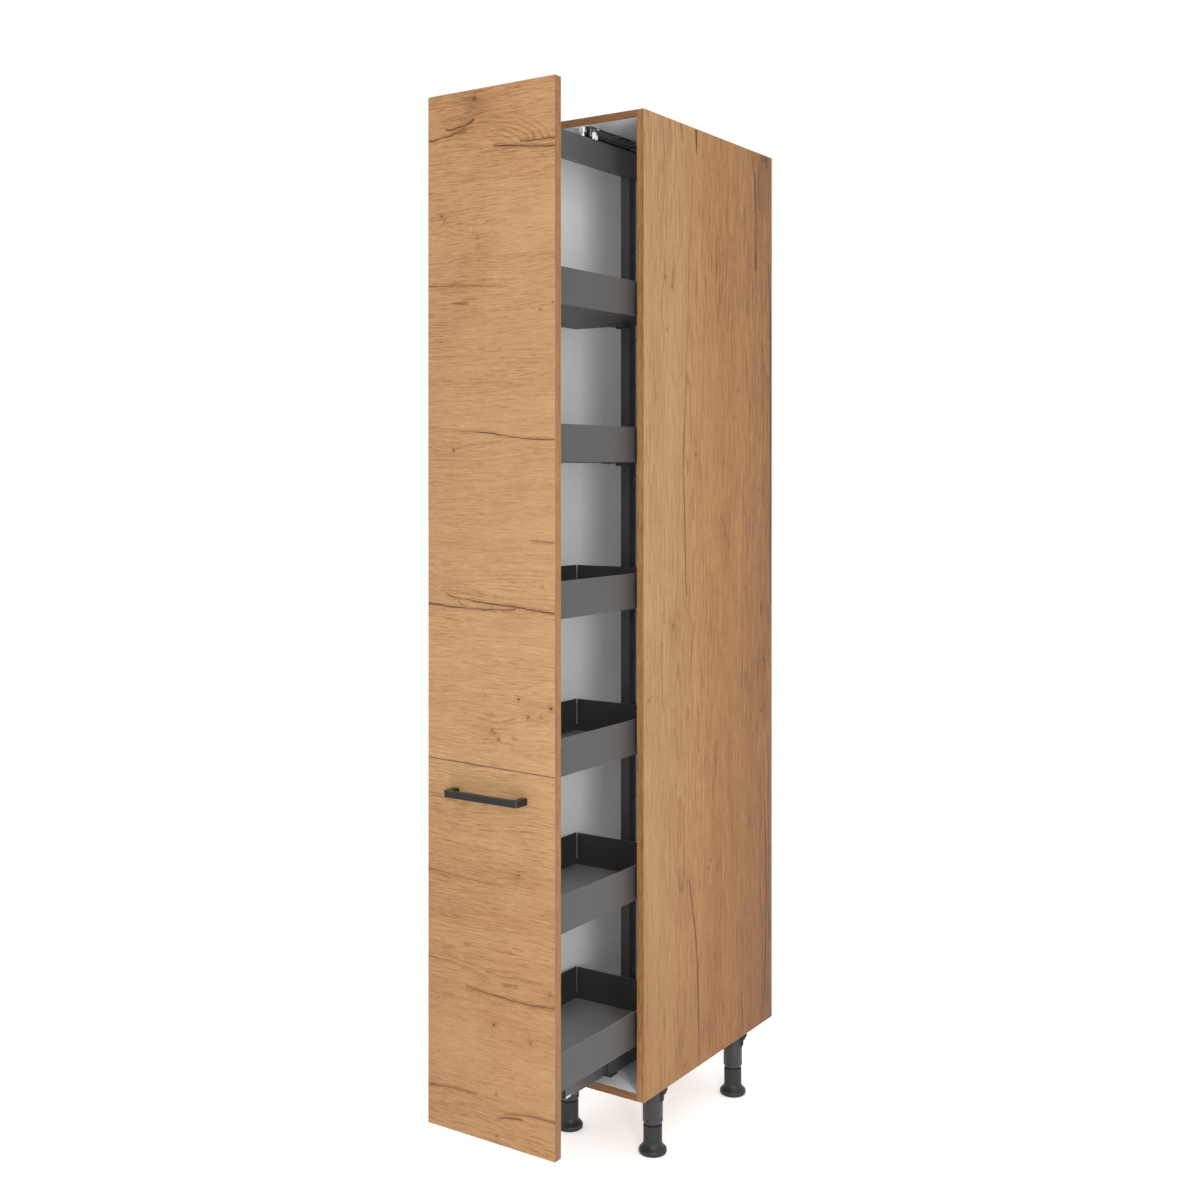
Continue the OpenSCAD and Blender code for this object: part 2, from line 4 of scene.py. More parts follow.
import bmesh
import bpy
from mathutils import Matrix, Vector

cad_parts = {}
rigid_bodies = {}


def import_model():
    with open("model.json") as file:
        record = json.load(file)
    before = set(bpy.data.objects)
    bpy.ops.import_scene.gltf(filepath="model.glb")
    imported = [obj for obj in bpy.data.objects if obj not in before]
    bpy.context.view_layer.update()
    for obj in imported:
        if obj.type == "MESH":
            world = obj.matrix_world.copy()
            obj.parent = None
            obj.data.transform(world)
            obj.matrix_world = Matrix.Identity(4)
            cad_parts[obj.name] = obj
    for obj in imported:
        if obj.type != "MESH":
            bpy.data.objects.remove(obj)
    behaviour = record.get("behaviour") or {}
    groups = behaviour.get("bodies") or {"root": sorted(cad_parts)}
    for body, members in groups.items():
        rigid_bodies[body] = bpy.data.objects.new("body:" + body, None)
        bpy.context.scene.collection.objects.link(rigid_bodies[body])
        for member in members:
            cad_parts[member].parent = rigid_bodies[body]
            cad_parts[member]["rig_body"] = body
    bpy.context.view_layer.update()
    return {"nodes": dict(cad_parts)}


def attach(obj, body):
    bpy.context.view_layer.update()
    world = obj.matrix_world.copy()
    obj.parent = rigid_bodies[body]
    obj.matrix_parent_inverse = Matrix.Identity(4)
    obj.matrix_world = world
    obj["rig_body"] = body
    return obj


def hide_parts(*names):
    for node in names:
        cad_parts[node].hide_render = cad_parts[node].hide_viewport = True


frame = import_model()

scene = bpy.context.scene
N = frame["nodes"]
BODY = {n: o["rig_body"] for n, o in N.items()}


# ------------------------------------------------------------------ camera
cam_data = bpy.data.cameras.new("camera")
cam = bpy.data.objects.new("camera", cam_data)
scene.collection.objects.link(cam)
cam_data.sensor_width = 36.0
cam_data.lens = 44.03
cam_data.shift_x = 0.01073
cam_data.shift_y = -0.10687
cam_data.clip_start = 0.05
cam_data.clip_end = 200.0
cam.location = (1.6736, -2.5845, 1.39915)
cam.rotation_euler = (math.radians(90), 0, math.radians(33.85))
scene.camera = cam

scene.view_settings.view_transform = "Standard"
scene.view_settings.look = "None"
scene.view_settings.exposure = 0.0
scene.view_settings.gamma = 1.0


# ------------------------------------------------------------------ node graphs
class Graph:
    """Small helper for writing shader node trees as expressions. A value is a number or an output socket."""

    def __init__(self, name):
        self.mat = bpy.data.materials.new(name)
        self.mat.use_nodes = True
        self.nt = self.mat.node_tree
        self.nt.nodes.clear()
        out = self.node("ShaderNodeOutputMaterial")
        self.bsdf = self.node("ShaderNodeBsdfPrincipled")
        self.nt.links.new(self.bsdf.outputs[0], out.inputs["Surface"])
        tc = self.node("ShaderNodeTexCoord")
        self.obj = tc.outputs["Object"]
        self.normal = tc.outputs["Normal"]
        self.x, self.y, self.z = self.sep(self.obj)

    def node(self, kind):
        return self.nt.nodes.new(kind)

    def put(self, sock, v):
        if isinstance(v, bpy.types.NodeSocket):
            self.nt.links.new(v, sock)
        elif v is not None:
            sock.default_value = v

    def m(self, op, a, b=None, c=None, clamp=False):
        n = self.node("ShaderNodeMath")
        n.operation = op
        n.use_clamp = clamp
        for i, v in enumerate((a, b, c)):
            if v is not None:
                self.put(n.inputs[i], v)
        return n.outputs[0]

    def add(self, *v):
        r = v[0]
        for w in v[1:]:
            r = self.m("ADD", r, w)
        return r

    def sub(self, a, b):
        return self.m("SUBTRACT", a, b)

    def mul(self, a, b):
        return self.m("MULTIPLY", a, b)

    def mad(self, a, b, c):
        return self.m("MULTIPLY_ADD", a, b, c)

    def mx(self, a, b):
        return self.m("MAXIMUM", a, b)

    def mn(self, a, b):
        return self.m("MINIMUM", a, b)

    def lerp(self, f, a, b):
        n = self.node("ShaderNodeMix")
        n.data_type = "FLOAT"
        self.put(n.inputs[0], f)
        self.put(n.inputs[2], a)
        self.put(n.inputs[3], b)
        return n.outputs[0]

    def sep(self, v):
        n = self.node("ShaderNodeSeparateXYZ")
        self.put(n.inputs[0], v)
        return n.outputs[0], n.outputs[1], n.outputs[2]

    def vec(self, x, y, z=0.0):
        n = self.node("ShaderNodeCombineXYZ")
        for i, v in enumerate((x, y, z)):
            self.put(n.inputs[i], v)
        return n.outputs[0]

    def dist(self, v, p):
        n = self.node("ShaderNodeVectorMath")
        n.operation = "DISTANCE"
        self.put(n.inputs[0], v)
        n.inputs[1].default_value = p
        return n.outputs["Value"]

    def noise(self, v, scale=1.0, detail=2.0, rough=0.5, dist=0.0, lac=2.0):
        n = self.node("ShaderNodeTexNoise")
        n.noise_dimensions = "3D"
        self.put(n.inputs["Vector"], v)
        n.inputs["Scale"].default_value = scale
        n.inputs["Detail"].default_value = detail
        n.inputs["Roughness"].default_value = rough
        n.inputs["Lacunarity"].default_value = lac
        n.inputs["Distortion"].default_value = dist
        return n.outputs[0]

    def voronoi(self, v, scale=1.0, feature="F1", rand=1.0, out="Distance"):
        n = self.node("ShaderNodeTexVoronoi")
        n.feature = feature
        self.put(n.inputs["Vector"], v)
        n.inputs["Scale"].default_value = scale
        n.inputs["Randomness"].default_value = rand
        return n.outputs[out]

    def remap(self, v, a, b, c=0.0, d=1.0, smooth=False, clamp=True):
        n = self.node("ShaderNodeMapRange")
        n.interpolation_type = "SMOOTHSTEP" if smooth else "LINEAR"
        n.clamp = clamp
        self.put(n.inputs[0], v)
        for i, w in enumerate((a, b, c, d)):
            self.put(n.inputs[1 + i], w)
        return n.outputs[0]

    def curve(self, v, pts, smooth=True):
        """Float curve through pts, a list of (0..1, 0..1)."""
        n = self.node("ShaderNodeFloatCurve")
        self.put(n.inputs["Value"], v)
        c = n.mapping.curves[0]
        while len(c.points) < len(pts):
            c.points.new(0.5, 0.5)
        for p, (a, b) in zip(c.points, pts):
            p.location = (a, b)
            p.handle_type = "AUTO" if smooth else "VECTOR"
        n.mapping.update()
        return n.outputs[0]

    def ramp(self, v, stops):
        n = self.node("ShaderNodeValToRGB")
        self.put(n.inputs[0], v)
        e = n.color_ramp.elements
        while len(e) < len(stops):
            e.new(0.5)
        for el, (p, c) in zip(e, stops):
            el.position = p
        for el, (p, c) in zip(e, stops):
            el.color = (*c, 1.0)
        return n.outputs[0]

    def mixc(self, f, a, b, blend="MIX"):
        n = self.node("ShaderNodeMix")
        n.data_type = "RGBA"
        n.blend_type = blend
        self.put(n.inputs[0], f)
        for s, v in ((n.inputs[6], a), (n.inputs[7], b)):
            if isinstance(v, bpy.types.NodeSocket):
                self.nt.links.new(v, s)
            else:
                s.default_value = (*v, 1.0)
        return n.outputs[2]

    def bump(self, height, distance, strength=1.0):
        n = self.node("ShaderNodeBump")
        n.inputs["Strength"].default_value = strength
        n.inputs["Distance"].default_value = distance
        self.put(n.inputs["Height"], height)
        self.nt.links.new(n.outputs[0], self.bsdf.inputs["Normal"])

    def set(self, name, v):
        s = self.bsdf.inputs[name]
        if isinstance(v, bpy.types.NodeSocket):
            self.nt.links.new(v, s)
        else:
            s.default_value = (*v, 1.0) if isinstance(v, tuple) and len(v) == 3 else v


# ------------------------------------------------------------------ oak decor
def line_mask(g, u, v, pts, width, feather, jitter=None):
    """A crack along the grain: pts are (u, v) in mm with u rising, width in mm at its widest. Returns the mask and the distance less the width."""
    us = [p[0] for p in pts]
    vs = [p[1] for p in pts]
    u0, u1 = min(us) / 1000, max(us) / 1000
    v0, v1 = min(vs) - 4, max(vs) + 4
    t = g.remap(u, u0, u1)
    c = g.curve(t, [((a / 1000 - u0) / (u1 - u0), (b - v0) / (v1 - v0)) for a, b in pts])
    centre = g.mad(c, (v1 - v0) / 1000, v0 / 1000)
    off = g.sub(v, centre)
    if jitter is not None:
        off = g.add(off, jitter)
    d = g.m("ABSOLUTE", off)
    n = len(pts)
    w = width if isinstance(width, (list, tuple)) else None
    top = max(w) if w else width
    if w:
        prof = [(i / (len(w) - 1), x / top) for i, x in enumerate(w)]
    else:
        prof = [(0.0, 0.25), (0.12, 0.75), (0.5, 1.0), (0.85, 0.7), (1.0, 0.15)]
    half = g.mul(g.curve(t, prof), top / 2000)
    # outside its ends the line has no width
    a = g.m("COMPARE", u, (u0 + u1) / 2, (u1 - u0) / 2)
    e = g.sub(g.mul(half, a), d)
    return g.remap(e, -feather / 1000, feather / 1000, smooth=True), e, a


def oak(name, u, v, g, tone, cracks=(), spots=(), blobs=(), rings=(), lines=(), seed=0.0, base=0.60, tint=None, across=1.0, crack=0.70, growth=0.5, period=0.0068, gain=1.0, along=1.0,
        light=(0.520, 0.318, 0.160), mid=(0.408, 0.232, 0.108), red=(0.315, 0.155, 0.066), dark=(0.040, 0.019, 0.009)):
    """Oak decor: u runs along the grain and v across it, both sockets in metres."""
    flat = g.vec(u, v, seed)
    # slow wander of the grain
    slow = g.noise(g.vec(g.mul(u, 3.2), g.mul(v, 7.0), seed), 1.0, 2.0, 0.5)
    wander = g.mul(g.sub(slow, 0.5), 0.026)
    fine_w = g.noise(g.vec(g.mul(u, 22.0), g.mul(v, 40.0), seed + 3.1), 1.0, 2.0, 0.55)
    wander = g.add(wander, g.mul(g.sub(fine_w, 0.5), 0.0016))
    # the grain flows round knots
    for (ku, kv, r, push) in blobs:
        dk = g.dist(g.vec(g.mul(u, 0.55), v, 0.0), (ku * 0.55 / 1000, kv / 1000, 0))
        fall = g.remap(dk, 0.0, r / 1000, 1.0, 0.0, smooth=True)
        side = g.remap(g.sub(v, kv / 1000), -r / 3000, r / 3000, -1.0, 1.0)
        wander = g.add(wander, g.mul(g.mul(fall, side), push / 1000))
    vw = g.add(v, wander)
    # cathedral arches: their own lines inside their own patch
    ringmask = None
    arch = None
    for (cu, cv, ku, reach, soft, inner, umin, vmin) in rings:
        dr = g.dist(g.vec(g.mul(u, ku), v, 0.0), (cu * ku / 1000, cv / 1000, 0))
        mk = g.remap(dr, reach / 1000, (reach - soft) / 1000, smooth=True)
        mk = g.mul(mk, g.remap(dr, inner / 1000, (inner + 10) / 1000, smooth=True))
        mk = g.mul(mk, g.remap(u, (umin - 25) / 1000, (umin + 25) / 1000, smooth=True))
        mk = g.mul(mk, g.remap(v, (vmin - 5) / 1000, (vmin + 5) / 1000, smooth=True))
        saw = g.m("FRACT", g.mul(g.add(dr, g.mul(g.sub(fine_w, 0.5), 0.012), g.mul(g.sub(slow, 0.5), 0.03)), 1.0 / (period * 1.15)))
        line = g.mul(g.remap(saw, 0.35, 0.88, smooth=True), g.remap(saw, 1.0, 0.92, smooth=True))
        line = g.mul(line, mk)
        arch = line if arch is None else g.mx(arch, line)
        ringmask = mk if ringmask is None else g.mx(ringmask, mk)

    # tone: plank bands, broad drift, streaks, fibres
    bands = g.noise(g.vec(g.mul(u, 0.9), g.mul(vw, 11.0), seed + 7.7), 1.0, 2.0, 0.5)
    streak = g.noise(g.vec(g.mul(u, 7.0 * along), g.mul(vw, 130.0 * across), seed + 1.3), 1.0, 3.0, 0.6)
    fibre = g.noise(g.vec(g.mul(u, 24.0 * along), g.mul(vw, 430.0 * across), seed + 5.9), 1.0, 3.0, 0.66)
    hair = g.noise(g.vec(g.mul(u, 60.0 * along), g.mul(vw, 1100.0 * across), seed + 9.2), 1.0, 2.0, 0.6)
    cloud = g.noise(flat, 9.0, 3.0, 0.55)
    fleck = g.noise(g.vec(g.mul(u, 70.0), g.mul(vw, 300.0), seed + 2.2), 1.0, 2.0, 0.5, 0.4)

    t = g.mad(g.sub(bands, 0.5), 0.34, base)
    t = g.mad(g.sub(streak, 0.5), 0.34 * gain, t)
    t = g.mad(g.sub(fibre, 0.5), 0.76 * gain, t)
    t = g.mad(g.sub(hair, 0.5), 0.72 * gain, t)
    t = g.mad(g.sub(cloud, 0.5), 0.22, t)
    t = g.mad(g.sub(fleck, 0.5), 0.30, t)
    if tone is not None:
        t = g.add(t, tone)

    # growth lines, strong only in patches
    patch = g.remap(g.noise(g.vec(g.mul(u, 2.6), g.mul(v, 9.0), seed + 4.4), 1.0, 2.0, 0.6), 0.36, 0.66, growth * 0.35, growth * 1.6, smooth=True)
    for (l0, l1, amount) in lines:
        inside = g.mul(g.remap(v, l0 / 1000, l0 / 1000 + 0.012, smooth=True), g.remap(v, l1 / 1000, l1 / 1000 - 0.012, smooth=True))
        patch = g.mx(patch, g.mul(inside, amount))
    if ringmask is not None:
        patch = g.mul(patch, g.sub(1.0, ringmask))
        t = g.sub(t, g.mul(arch, 0.25))
    # contour lines of a drawn-out field: they run with the grain, pinch together and close into narrow ovals
    field = g.noise(g.vec(g.mul(u, 5.0 * along), g.mul(vw, 34.0 * across), seed + 11.0), 1.0, 2.0, 0.45)
    wob2 = g.noise(g.vec(g.mul(u, 38.0 * along), g.mul(vw, 120.0 * across), seed + 13.0), 1.0, 2.0, 0.5)
    phase = g.add(g.mul(vw, 1.0 / period), g.mul(g.sub(field, 0.5), 5.6), g.mul(g.sub(wob2, 0.5), 0.9))
    saw = g.m("FRACT", phase)
    ridge = g.mul(g.remap(saw, 0.25, 0.86, 0.0, 1.0, smooth=True), g.remap(saw, 1.0, 0.90, 0.0, 1.0, smooth=True))
    broken = g.remap(fibre, 0.30, 0.56, 1.25, 0.35)
    t = g.sub(t, g.mul(g.mul(ridge, broken), g.mul(patch, 0.27)))

    # pores: short dark dashes
    pore = g.noise(g.vec(g.mul(u, 95.0), g.mul(vw, 1150.0), seed + 6.6), 1.0, 1.0, 0.5)
    pores = g.remap(pore, 0.60, 0.72, 0.0, 1.0)
    t = g.sub(t, g.mul(pores, 0.13))

    # cracks, knots and their stains
    jit = g.mul(g.sub(g.noise(g.vec(g.mul(u, 130.0), g.mul(v, 60.0), seed + 8.8), 1.0, 2.0, 0.6), 0.5), 0.0030)
    dark_mask = 0.0
    stain = 0.0
    for item in cracks:
        pts, width = item[0], item[1]
        strength = item[2] if len(item) > 2 else 1.0
        mask, e, a = line_mask(g, u, v, pts, [crack * k for k in width] if isinstance(width, list) else crack * width, 0.35 + 0.3 * (crack > 1), jit)
        halo = g.mul(g.remap(e, -0.006, 0.0, 0.0, 1.0, smooth=True), a)
        mask = g.mul(mask, strength)
        dark_mask = mask if isinstance(dark_mask, float) else g.mx(dark_mask, mask)
        halo = g.mul(halo, 0.26 * strength)
        stain = halo if isinstance(stain, float) else g.mx(stain, halo)
    wob = g.vec(g.add(u, g.mul(g.sub(fine_w, 0.5), 0.006)), g.add(v, jit), 0.0)
    for (su, sv, r, strength) in spots:
        d = g.dist(wob, (su / 1000, sv / 1000, 0))
        core = g.mul(g.remap(d, r / 1000, r * 0.35 / 1000, smooth=True), strength)
        dark_mask = core if isinstance(dark_mask, float) else g.mx(dark_mask, core)
        halo = g.mul(g.remap(d, r * 4.2 / 1000, 0.0, smooth=True), 0.24 * min(1.0, strength * 1.3))
        stain = halo if isinstance(stain, float) else g.mx(stain, halo)
    for (ku, kv, r, push) in blobs:
        dk = g.dist(g.vec(g.mul(u, 0.55), v, 0.0), (ku * 0.55 / 1000, kv / 1000, 0))
        halo = g.remap(dk, r * 0.9 / 1000, 0.0, 0.0, 0.12, smooth=True)
        stain = halo if isinstance(stain, float) else g.add(stain, halo)
    if not isinstance(stain, float):
        t = g.sub(t, stain)

    col = g.ramp(g.m("ADD", t, 0.0, clamp=True), [(0.0, tuple(0.55 * c for c in red)), (0.30, red), (0.60, mid), (1.0, light)])
    if tint is not None:
        col = g.mixc(1.0, col, tint, "MULTIPLY")
    if not isinstance(dark_mask, float):
        col = g.mixc(dark_mask, col, dark)
    # relief: the decor is lightly embossed along its pores and cracks
    h = g.mul(pores, -0.10)
    h = g.mad(fibre, 0.22, h)
    h = g.mad(fleck, 0.16, h)
    h = g.sub(h, g.mul(g.mul(ridge, patch), 0.20))
    if not isinstance(dark_mask, float):
        h = g.sub(h, dark_mask)
    rough = g.mad(fibre, 0.16, 0.40)
    rough = g.add(rough, g.mul(pores, 0.12))
    return col, h, rough


def finish_oak(g, col, h, rough, distance=0.00035):
    g.set("Base Color", col)
    g.set("Roughness", rough)
    g.set("Specular Level" if "Specular Level" in g.bsdf.inputs else "Specular IOR Level", 0.20)
    g.bump(h, distance)
    return g.mat


def door_face():
    g = Graph("oak_door_face")
    # measured tone of the decor from the bottom (z 0.15) to the top (z 2.12)
    tz = g.curve(g.remap(g.z, 0.15, 2.12), [(0.0, 0.46), (0.12, 0.47), (0.20, 0.42), (0.215, 0.40), (0.28, 0.50), (0.36, 0.53),
                                            (0.45, 0.54), (0.55, 0.53), (0.66, 0.50), (0.76, 0.50), (0.84, 0.56), (0.90, 0.50), (0.945, 0.34), (1.0, 0.30)])
    tone = g.mad(g.sub(tz, 0.5), 0.9, 0.0)
    tone = g.add(tone, g.mul(g.x, 0.16))
    cracks = [
        ([(-150, 2034), (-132, 2032), (-114, 2036), (-100, 2036), (-80, 2040), (-58, 2045)], [2.8, 2.4, 1.2, 2.2, 1.2, 0.4]),
        ([(-106, 2053), (-98, 2048), (-76, 2050), (-60, 2051), (-46, 2056), (-36, 2063)], [0.8, 2.6, 2.6, 2.2, 2.8, 1.6]),
        ([(-92, 2041), (-70, 2040), (-52, 2043)], 1.2, 0.7),
        ([(8, 2005), (30, 2003), (66, 1999), (95, 1994), (150, 1988)], [1.8, 2.4, 1.6, 1.8, 2.0]),
        ([(70, 2007), (96, 2005), (122, 2004), (150, 2004)], [0.8, 1.8, 2.0, 2.6]),
        ([(-150, 1754), (-110, 1752), (-63, 1750), (-10, 1746), (43, 1742)], [1.6, 1.0, 1.3, 1.0, 0.4], 0.85),
        ([(-90, 1719), (-70, 1717), (-50, 1717)], 2.0, 0.7),
        ([(-150, 1486), (-108, 1480), (-66, 1476)], 0.9, 0.35),
        ([(-68, 1475), (-25, 1473), (16, 1469), (55, 1463), (94, 1459), (119, 1458), (150, 1458)], [0.6, 1.6, 2.6, 1.6, 2.0, 2.0, 1.4], 0.95),
        ([(-80, 1446), (-40, 1450), (0, 1453), (34, 1460)], 1.3, 0.45),
        ([(94, 1273), (120, 1272), (150, 1270)], [1.2, 1.7, 1.6], 0.85),
        ([(-150, 1147), (-120, 1146), (-95, 1143), (-60, 1143), (-23, 1142), (29, 1143), (63, 1150)], [2.6, 2.2, 3.0, 1.2, 2.4, 1.6, 1.8]),
        ([(-104, 1168), (-90, 1163), (-49, 1158), (-20, 1155), (5, 1153), (63, 1150), (100, 1146), (150, 1143)], [0.6, 1.2, 2.2, 2.8, 2.4, 2.2, 2.6, 2.2]),
        ([(-76, 1156), (-68, 1150), (-60, 1145)], 1.2, 0.8),
        ([(-150, 785), (-134, 785), (-117, 784)], 1.4, 0.6),
        ([(-150, 640), (-107, 637), (-70, 634), (-37, 633), (31, 632)], [1.6, 1.2, 1.2, 1.0, 0.5], 0.7),
        ([(-56, 431), (8, 426), (75, 424), (124, 426), (150, 429)], [0.6, 1.4, 1.8, 2.0, 1.2], 0.9),
        ([(28, 448), (46, 450), (66, 452)], 1.8, 0.6),
        ([(-150, 224), (-120, 228), (-95, 231), (-28, 233)], [1.8, 1.6, 1.2, 0.4], 0.8),
        ([(17, 197), (32, 203), (45, 206), (77, 210)], [0.6, 1.8, 2.2, 0.8], 0.9),
        ([(34, 210), (60, 216), (93, 221), (150, 222)], [0.6, 1.2, 1.6, 1.4], 0.85),
    ]
    spots = [(-36, 2100, 3.2, 0.9), (-115, 1886, 2.6, 0.9), (-108, 1879, 2.2, 0.7), (-30, 1838, 2.4, 0.55), (-26, 1822, 3.0, 0.5),
             (-40, 1846, 1.6, 0.5), (-86, 1440, 2.6, 1.0), (144, 1706, 2.2, 0.9), (115, 1695, 1.8, 0.8), (120, 1190, 2.2, 0.7),
             (66, 981, 3.0, 1.0), (140, 970, 3.4, 0.9), (88, 949, 2.6, 1.0), (118, 953, 2.2, 0.6), (-10, 982, 2.0, 0.4), (4, 918, 3.4, 0.6), (10, 914, 2.0, 0.8),
             (20, 903, 2.6, 0.8), (56, 907, 2.4, 0.7), (62, 907, 1.8, 0.6), (66, 658, 2.2, 0.8), (10, 371, 2.8, 0.8), (93, 355, 2.4, 0.6), (138, 451, 3.0, 0.5),
             (17, 166, 2.2, 0.7), (15, 243, 2.2, 0.7), (-20, 2004, 2.2, 0.5)]
    blobs = [(-28, 2085, 60, 5), (-96, 1880, 46, 5), (-28, 1832, 60, 9), (-60, 1752, 60, -6), (-100, 1191, 50, 6), (59, 1130, 42, 6), (120, 962, 50, 7),
             (4, 916, 46, 10), (66, 660, 44, 6), (10, 371, 46, 6), (93, 357, 44, 6), (138, 450, 44, 8), (-50, 2052, 70, 8)]
    rings = [(10, 1992, 0.5, 73, 8, 16, 12, 2007)]
    lines = [(1735, 1815, 0.9), (820, 862, 0.7), (1075, 1110, 0.5)]
    tint = g.ramp(g.remap(g.z, 0.15, 2.12), [(0.0, (0.74, 0.70, 0.65)), (0.22, (0.73, 0.705, 0.66)), (0.38, (0.76, 0.78, 0.76)), (0.55, (0.735, 0.745, 0.73)), (0.84, (0.725, 0.72, 0.695)), (0.93, (0.80, 0.80, 0.76)), (1.0, (0.84, 0.83, 0.80))])
    col, h, rough = oak("door", g.x, g.z, g, tone, cracks, spots, blobs, rings, lines, seed=0.37, base=0.65, tint=tint, growth=0.75)
    # hairline joint between the upper and the lower decor board
    j = g.remap(g.m("ABSOLUTE", g.sub(g.z, g.mad(g.x, -0.02, 0.849))), 0.0015, 0.0007, smooth=True)
    col = g.mixc(g.mul(j, 0.85), col, (0.10, 0.050, 0.024))
    h = g.sub(h, g.mul(j, 1.4))
    return finish_oak(g, col, h, rough)


def side_face(name="oak_side_face", mirror=False):
    g = Graph(name)
    v = g.sub(0.336, g.y) if mirror else g.y
    # from the front edge (y -0.112) to the rear (y 0.448): light front band, redder middle, darker rear; the darkening
    # towards the rear is partly the decor's own tone and partly painted shade of the light falling off
    ty = g.curve(g.remap(g.y, -0.112, 0.448), [(0.0, 0.60), (0.10, 0.60), (0.22, 0.60), (0.34, 0.55), (0.45, 0.46), (0.55, 0.42), (0.66, 0.44), (0.78, 0.40), (0.90, 0.36), (1.0, 0.34)])
    tone = g.mad(g.sub(ty, 0.5), 1.15, 0.02)
    cracks = [
        ([(2064, 101), (2085, 99), (2116, 97)], [0.8, 3.0, 3.8]),
        ([(2080, 43), (2098, 38), (2116, 34)], [0.4, 1.6, 2.0], 0.8),
        ([(1850, 369), (1900, 369), (1977, 369), (2020, 367), (2050, 364), (2080, 356), (2108, 350)], [3.4, 2.4, 1.6, 2.6, 2.4, 1.6, 0.6]),
        ([(1990, 388), (2030, 381), (2060, 383), (2090, 386)], [1.0, 2.2, 1.6, 1.0], 0.7),
        ([(1880, 397), (1960, 395), (2010, 398), (2060, 402)], 1.4, 0.4),
        ([(1100, 441), (1400, 440), (1700, 440), (1769, 439), (1830, 435), (1876, 429)], [1.0, 2.2, 2.0, 3.4, 3.0, 1.0], 0.85),
        ([(1548, 55), (1650, 60), (1798, 67), (1900, 75), (2016, 80)], 1.1, 0.4),
        ([(1141, 58), (1190, 53), (1231, 52), (1280, 51), (1310, 50), (1416, 44), (1470, 46), (1495, 49), (1548, 55)], [1.0, 2.0, 1.4, 2.2, 1.8, 1.5, 1.6, 1.2, 0.8], 0.8),
        ([(150, 110), (230, 108), (311, 105), (414, 97), (482, 84), (520, 75), (552, 67)], [1.2, 1.6, 2.0, 2.6, 2.2, 1.8, 0.8], 0.9),
        ([(181, 408), (300, 414), (462, 419), (560, 416), (653, 409)], [1.4, 2.6, 1.4, 2.4, 1.0], 0.85),
        ([(181, 428), (420, 432), (600, 430), (800, 428)], 1.8, 0.6),
        ([(1077, 391), (1090, 394), (1106, 395)], 2.4, 0.9),
        ([(1233, 243), (1270, 226), (1306, 209)], 1.2, 0.45),
        ([(160, 396), (240, 401), (330, 404)], 1.4, 0.6),
    ]
    spots = [(2109, 419, 5.5, 0.95), (2096, 423, 3.0, 0.8), (1793, -30, 2.6, 0.9), (1778, -2, 2.4, 0.8), (1689, -22, 2.4, 0.8), (1597, 2, 2.4, 0.8), (1579, 288, 2.2, 0.8),
             (1435, 97, 2.4, 0.8), (1084, 3, 3.0, 1.0), (1360, 382, 2.2, 0.7), (1050, -43, 2.6, 0.5), (943, -92, 2.8, 0.8), (860, 395, 2.4, 0.8), (974, 407, 2.6, 0.8),
             (571, 161, 2.4, 0.8), (556, 153, 2.2, 0.7), (173, 51, 2.6, 0.8), (2010, 310, 2.0, 0.4)]
    blobs = [(1435, 97, 60, 8), (1084, 3, 44, 6), (974, 400, 50, 8), (2105, 418, 60, 10), (530, 40, 70, 10), (1270, 225, 50, 5), (1785, -16, 50, 6)]
    rings = [(1500, 62, 0.16, 30, 16, 0, 900, 20), (640, 34, 0.16, 34, 18, 0, 300, 0), (900, 22, 0.14, 28, 16, 0, 500, -20)]
    lines = [(-60, 10, 0.35), (100, 190, 0.5)]
    # the tint darkens and reddens towards the rear: decor tone and painted shade together
    tint = g.ramp(g.remap(g.y, -0.112, 0.448), [(0.0, (0.665, 0.66, 0.595)), (0.15, (0.665, 0.66, 0.595)), (0.5, (0.69, 0.625, 0.465)), (1.0, (0.60, 0.525, 0.375))])
    tint = g.mixc(1.0, tint, g.ramp(g.remap(g.z, 0.15, 2.12), [(0.0, (0.86, 0.76, 0.62)), (0.30, (0.95, 0.92, 0.86)), (0.6, (0.99, 0.99, 0.99))]), "MULTIPLY")
    col, h, rough = oak("side", g.z, v, g, tone, cracks, spots, blobs, rings, lines, seed=12.4 if mirror else 4.19, base=0.56, tint=tint, across=0.55, crack=1.35, growth=0.75, period=0.0135, gain=1.15, along=0.5)
    return finish_oak(g, col, h, rough)


def plain_oak(name, along, across, seed, base=0.52, shade=1.0, stripes=False):
    """Oak decor with no cracks of its own, for faces the light hardly reaches and for edge bands."""
    g = Graph(name)
    ax = {"x": g.x, "y": g.y, "z": g.z}
    tone = None
    if stripes:
        tone = g.mad(g.sub(g.noise(g.vec(g.mul(ax[along], 1.4), g.mul(ax[across], 330.0), seed), 1.0, 1.0), 0.5), 0.5, 0.0)
    c = [tuple(shade * k * q for k, q in zip(col, (0.78, 0.74, 0.64))) for col in ((0.520, 0.318, 0.160), (0.408, 0.232, 0.108), (0.315, 0.155, 0.066), (0.080, 0.034, 0.014))]
    col, h, rough = oak(name, ax[along], ax[across], g, tone, seed=seed, base=base, light=c[0], mid=c[1], red=c[2], dark=c[3])
    return finish_oak(g, col, h, rough, 0.0002)


